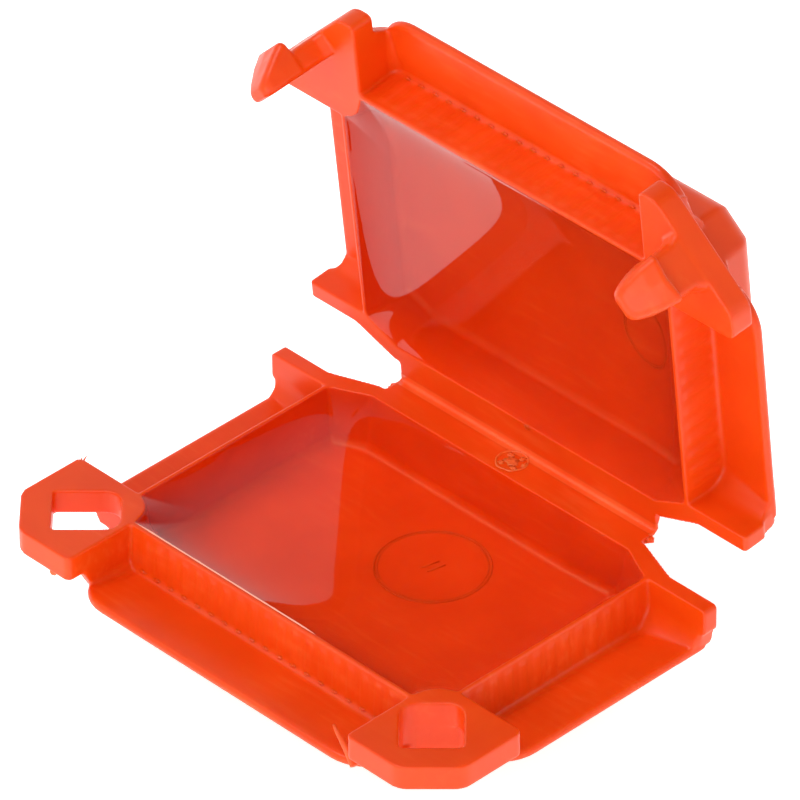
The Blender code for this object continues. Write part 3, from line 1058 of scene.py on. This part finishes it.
def moulded_plastic(name, dark, light):
    """Orange-red polypropylene: faint clouds and flow streaks, fine peel, a glow where thin."""
    made, nodes, links = shader_of(name)
    shader = nodes["Principled BSDF"]
    shader.inputs["Subsurface Weight"].default_value = 0.35
    shader.inputs["Subsurface Radius"].default_value = (1.0, 0.22, 0.06)
    shader.inputs["Subsurface Scale"].default_value = GLOW_DEPTH
    shader.inputs["IOR"].default_value = 1.49
    shader.inputs["Specular IOR Level"].default_value = 0.32
    place = nodes.new("ShaderNodeTexCoord").outputs["Object"]

    cloud = noise_texture(nodes, links, place, CLOUD_SCALE, 7.0)
    colours = nodes.new("ShaderNodeValToRGB")
    stops = ((0.3, dark), (0.75, light))
    for element, (position, colour) in zip(colours.color_ramp.elements, stops):
        element.position = position
        element.color = (*colour, 1)
    links.new(cloud, colours.inputs["Fac"])

    turned = nodes.new("ShaderNodeMapping")
    turned.inputs["Rotation"].default_value = STREAK_TURN
    turned.inputs["Scale"].default_value = STREAK_SCALE
    links.new(place, turned.inputs["Vector"])
    streaks = noise_texture(nodes, links, turned.outputs["Vector"], 1.0, 3.0)
    patches = noise_texture(nodes, links, place, PATCH_SCALE, 2.0)
    streaks = ranged(nodes, links, streaks, From_Min=0.50, From_Max=0.72)
    patches = ranged(nodes, links, patches, From_Min=0.47, From_Max=0.62)
    flow = product(nodes, links, product(nodes, links, streaks, patches), FLOW_STRENGTH)
    streaked = nodes.new("ShaderNodeMix")
    streaked.data_type = "RGBA"
    links.new(flow, enabled(streaked.inputs, "Factor"))
    links.new(colours.outputs["Color"], enabled(streaked.inputs, "A"))
    enabled(streaked.inputs, "B").default_value = STREAK_COLOUR
    links.new(enabled(streaked.outputs, "Result"), shader.inputs["Base Color"])

    gloss = ranged(nodes, links, cloud, To_Min=0.27, To_Max=0.42)
    links.new(gloss, shader.inputs["Roughness"])
    bump = nodes.new("ShaderNodeBump")
    bump.inputs["Strength"].default_value = PEEL_STRENGTH
    bump.inputs["Distance"].default_value = PEEL_DEPTH
    links.new(noise_texture(nodes, links, place, PEEL_SCALE, 2.0), bump.inputs["Height"])
    links.new(bump.outputs["Normal"], shader.inputs["Normal"])
    return made


def clear_gel():
    """Clear gel: the tub shows through it, darkened by an amber tint that paints shade on its floor,
    and its surface mirrors the room.
    """
    made, nodes, links = shader_of("clear_gel")
    clear = nodes["Principled BSDF"]
    # Amber tint: painted shade on everything seen through the gel.
    clear.inputs["Base Color"].default_value = PAINTED_SHADE_TINT
    clear.inputs["Roughness"].default_value = 0.03
    clear.inputs["IOR"].default_value = GEL_IOR
    clear.inputs["Transmission Weight"].default_value = 1.0
    lamps_pass = nodes.new("ShaderNodeBsdfTransparent")
    path = nodes.new("ShaderNodeLightPath")
    mix = nodes.new("ShaderNodeMixShader")
    links.new(path.outputs["Is Shadow Ray"], mix.inputs["Fac"])
    links.new(clear.outputs["BSDF"], mix.inputs[1])
    links.new(lamps_pass.outputs["BSDF"], mix.inputs[2])
    links.new(mix.outputs["Shader"], nodes["Material Output"].inputs["Surface"])
    return made


def painted_rim_highlight():
    """Pale pink coat of the rim's bead: a painted highlight line."""
    made, nodes, _ = shader_of("painted_rim_highlight")
    shader = nodes["Principled BSDF"]
    shader.inputs["Base Color"].default_value = RIM_HIGHLIGHT_COLOUR
    shader.inputs["Roughness"].default_value = 0.2
    return made


def studio_white():
    """Pale floor that glows a little, so that shadows on it stay faint."""
    made, nodes, _ = shader_of("studio_white")
    shader = nodes["Principled BSDF"]
    shader.inputs["Base Color"].default_value = (0.93, 0.93, 0.93, 1)
    shader.inputs["Roughness"].default_value = 0.7
    shader.inputs["Emission Color"].default_value = (1, 1, 1, 1)
    shader.inputs["Emission Strength"].default_value = FLOOR_GLOW
    return made


def dressed(piece, material):
    piece.data.materials.clear()
    piece.data.materials.append(material)
    return piece


# ------------------------------------------------------------------ other pieces


def gel_outline():
    """Edge of the gel in plan: the tub's inside with its two posts."""
    posts = [(x, y, 0.0) for x, y in post_arc(6)]
    return np.array(rounded(mirrored(cavity_rear_corners() + posts)))


def depth_inside(points, outline):
    """Distance of each point to a closed outline, positive inside it."""
    nearest = np.full(len(points), np.inf)
    inside = np.zeros(len(points), bool)
    for start, end in zip(outline, np.roll(outline, -1, axis=0)):
        span = end - start
        length = span @ span
        if length < 1e-14:
            continue
        share = np.clip((points - start) @ span / length, 0, 1)
        gap = np.linalg.norm(points - start - share[:, None] * span, axis=1)
        nearest = np.minimum(nearest, gap)
        crosses = (start[1] > points[:, 1]) != (end[1] > points[:, 1])
        rise = end[1] - start[1] if end[1] != start[1] else 1e-12
        meets = start[0] + (points[:, 1] - start[1]) / rise * span[0]
        inside ^= crosses & (points[:, 0] < meets)
    return np.where(inside, nearest, -nearest)


def boundary_loop(quads):
    """Vertices round the edge of a sheet of quads, in order."""
    edges = np.stack([quads, np.roll(quads, -1, axis=1)], axis=-1).reshape(-1, 2).tolist()
    inner = {(b, a) for a, b in edges}
    following = {a: b for a, b in edges if (a, b) not in inner}
    loop = [min(following)]
    while following[loop[-1]] != loop[0]:
        loop.append(following[loop[-1]])
    return loop


def gel_surface(name):
    """Gel: level in the middle, drawn up along the walls, its sides and foot sunk in the tub."""
    outline = gel_outline()
    low = outline.min(axis=0) - GEL_LAP
    high = outline.max(axis=0) + GEL_LAP
    counts = np.ceil((high - low) / GEL_GRID).astype(int) + 1
    xs, ys = (np.linspace(low[axis], high[axis], counts[axis]) for axis in (0, 1))
    flat = np.stack(np.meshgrid(xs, ys), axis=-1).reshape(-1, 2)
    depth = depth_inside(flat, outline)
    heights = GEL_LEVEL + MENISCUS * np.exp(-np.maximum(depth, 0) / MENISCUS_REACH)
    index = np.arange(len(flat)).reshape(counts[1], counts[0])
    quads = np.stack([index[:-1, :-1], index[:-1, 1:], index[1:, 1:], index[1:, :-1]], axis=-1)
    quads = quads.reshape(-1, 4)
    quads = quads[(depth[quads] > -GEL_LAP).any(axis=1)]
    used, quads = np.unique(quads, return_inverse=True)
    quads = quads.reshape(-1, 4)
    edge = boundary_loop(quads)
    rim = flat[used][edge]
    middle = np.array((0.0, CAVITY_MIDDLE))
    sunk = (rim - middle) * GEL_TAPER + middle
    points = np.vstack([np.c_[flat[used], heights[used]], np.c_[sunk, np.full(len(sunk), GEL_FOOT)]])
    foot = list(range(len(used), len(points)))
    sides = zip(edge[1:] + edge[:1], edge, foot, foot[1:] + foot[:1])
    mesh = bpy.data.meshes.new(name)
    mesh.from_pydata(points.tolist(), [], [*quads.tolist(), *sides, foot[::-1]])
    bm = bmesh.new()
    bm.from_mesh(mesh)
    made = solid(name, bm)
    made.data.shade_smooth()
    return made


def highlight_bead():
    """Thin pale bead on the front wall's rim, from the left post to the middle: a painted highlight
    line.
    """
    path = []
    sizes = []
    for step in range(BEAD_STEPS + 1):
        share = step / BEAD_STEPS
        x = BEAD_START + (BEAD_END - BEAD_START) * share
        ends = min(1.0, 12 * share + 0.2, 12 * (1 - share) + 0.2)
        grain = noise.noise(Vector((x / MM * BEAD_GRAIN, 0, 0)))
        path.append(Vector((x, CAVITY_FRONT + 0.02 * MM, RIM - 0.03 * MM)))
        sizes.append(BEAD_RADIUS * ends * (1 + BEAD_UNEVEN * grain))
    made = tube(path, sizes)
    made.name = "base_highlit_rim_bead"
    made.data.transform(Matrix.Translation(CREASE))
    made.data.shade_smooth()
    return made


def hinge_web():
    """Thin strip along the crease, bent from the base's leaf up into the lid's."""
    lid_turn = Matrix.Rotation(-OPEN_ANGLE, 3, "X")
    tops = []
    lows = []
    for step in range(13):
        along = (step / 12 - 0.5) * 2 * WEB_REACH
        if along < 0:
            tops.append(Vector((0, along, RIM)))
            lows.append(Vector((0, along, RIM - WEB_THICKNESS)))
        else:
            tops.append(lid_turn @ Vector((0, -along, -RIM)))
            lows.append(lid_turn @ Vector((0, -along, -RIM + WEB_THICKNESS)))
    outline = tops + lows[::-1]
    stations = 40
    rings = []
    for i in range(stations + 1):
        x = -LEAF_HALF + 2 * LEAF_HALF * i / stations
        rings.append([CREASE + Vector((x, p.y, p.z)) for p in outline])
    made = loft("hinge_web", rings)
    made.data.shade_smooth()
    return made


# ------------------------------------------------------------------------ build


def build():
    plastic = moulded_plastic("orange_polypropylene", *PLASTIC)
    whitened_and_highlit = moulded_plastic("whitened_and_highlit_polypropylene", *WHITENED_AND_HIGHLIT_PLASTIC)
    gel_look = clear_gel()
    base = dressed(half("base_moulding", True), plastic)
    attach(base, "base")
    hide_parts("base_shell", "base_front_entry_wall", "base_left_entry_wall")
    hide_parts("base_right_entry_wall", "left_catch", "right_catch")
    flash = dressed(base_flash(), whitened_and_highlit)
    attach(flash, "base")
    lid = dressed(half("lid_moulding", False), plastic)
    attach(lid, "lid")
    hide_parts("lid_shell", "lid_front_entry_wall", "lid_left_entry_wall")
    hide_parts("lid_right_entry_wall", "left_latch", "right_latch")
    base_gel = dressed(gel_surface("base_gel_surface"), gel_look)
    base_gel.data.transform(Matrix.Translation(CREASE))
    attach(base_gel, "base")
    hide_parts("base_gel")
    # Pale bead on the front rim: a painted highlight line.
    bead = dressed(highlight_bead(), painted_rim_highlight())
    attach(bead, "base")
    lid_gel = dressed(gel_surface("lid_gel_surface"), gel_look)
    mirror(lid_gel, 2)
    lid_gel.data.transform(to_lid())
    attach(lid_gel, "lid")
    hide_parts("lid_gel")
    # The hinge strip's paler plastic: stress whitening and a painted highlight along the crease.
    strip = dressed(hinge_web(), whitened_and_highlit)
    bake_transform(strip)
    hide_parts("living_hinge")


# ----------------------------------------------------------------------- studio


def camera():
    """Long lens from the front right, looking down on the open box."""
    back = Vector(
        (
            math.sin(AZIMUTH) * math.cos(ELEVATION),
            -math.cos(AZIMUTH) * math.cos(ELEVATION),
            math.sin(ELEVATION),
        )
    )
    place = CREASE + back * DISTANCE
    forward = (LOOK_AT - place).normalized()
    right = forward.cross(Vector((0, 0, 1))).normalized()
    up = right.cross(forward)
    tilted_right = math.cos(ROLL) * right + math.sin(ROLL) * up
    tilted_up = tilted_right.cross(forward)
    data = bpy.data.cameras.new("camera")
    data.lens = LENS
    data.sensor_width = 36.0
    data.clip_end = 20.0
    made = bpy.data.objects.new("camera", data)
    turn = Matrix((tilted_right, tilted_up, -forward)).transposed().to_4x4()
    made.matrix_world = Matrix.Translation(place) @ turn
    bpy.context.scene.collection.objects.link(made)
    bpy.context.scene.camera = made


def softbox(name, place, target, size, watts):
    data = bpy.data.lights.new(name, "AREA")
    data.shape = "RECTANGLE"
    data.size, data.size_y = size
    data.energy = watts
    made = bpy.data.objects.new(name, data)
    made.location = place
    made.rotation_euler = (Vector(target) - Vector(place)).to_track_quat("-Z", "Y").to_euler()
    bpy.context.scene.collection.objects.link(made)
    return made


def studio_world():
    """Light room: bright near the horizon, dim overhead."""
    world = bpy.data.worlds.new("studio")
    world.use_nodes = True
    nodes, links = world.node_tree.nodes, world.node_tree.links
    place = nodes.new("ShaderNodeTexCoord")
    height = nodes.new("ShaderNodeSeparateXYZ")
    links.new(place.outputs["Generated"], height.inputs["Vector"])
    fade = nodes.new("ShaderNodeMapRange")
    fade.interpolation_type = "SMOOTHSTEP"
    fade.inputs["From Min"].default_value = HORIZON_TOP[0]
    fade.inputs["From Max"].default_value = HORIZON_TOP[1]
    fade.inputs["To Min"].default_value = HORIZON_LIGHT
    fade.inputs["To Max"].default_value = ZENITH_LIGHT
    links.new(height.outputs["Z"], fade.inputs["Value"])
    links.new(fade.outputs["Result"], nodes["Background"].inputs["Strength"])
    nodes["Background"].inputs["Color"].default_value = (1, 1, 1, 1)
    bpy.context.scene.world = world


def studio():
    """Pale floor, a broad box above and a smaller one in front, and the light room."""
    studio_world()
    bm = bmesh.new()
    bmesh.ops.create_grid(bm, x_segments=1, y_segments=1, size=FLOOR_HALF)
    floor = solid("floor", bm)
    floor.data.materials.append(studio_white())
    softbox("top_box", (-0.15, -0.25, 0.75), AIM, (0.5, 0.5), TOP_WATTS)
    softbox("front_box", (0.45, -0.65, 0.32), AIM, (0.5, 0.35), FRONT_WATTS)
    bpy.context.scene.view_settings.view_transform = "Standard"


build()
camera()
studio()
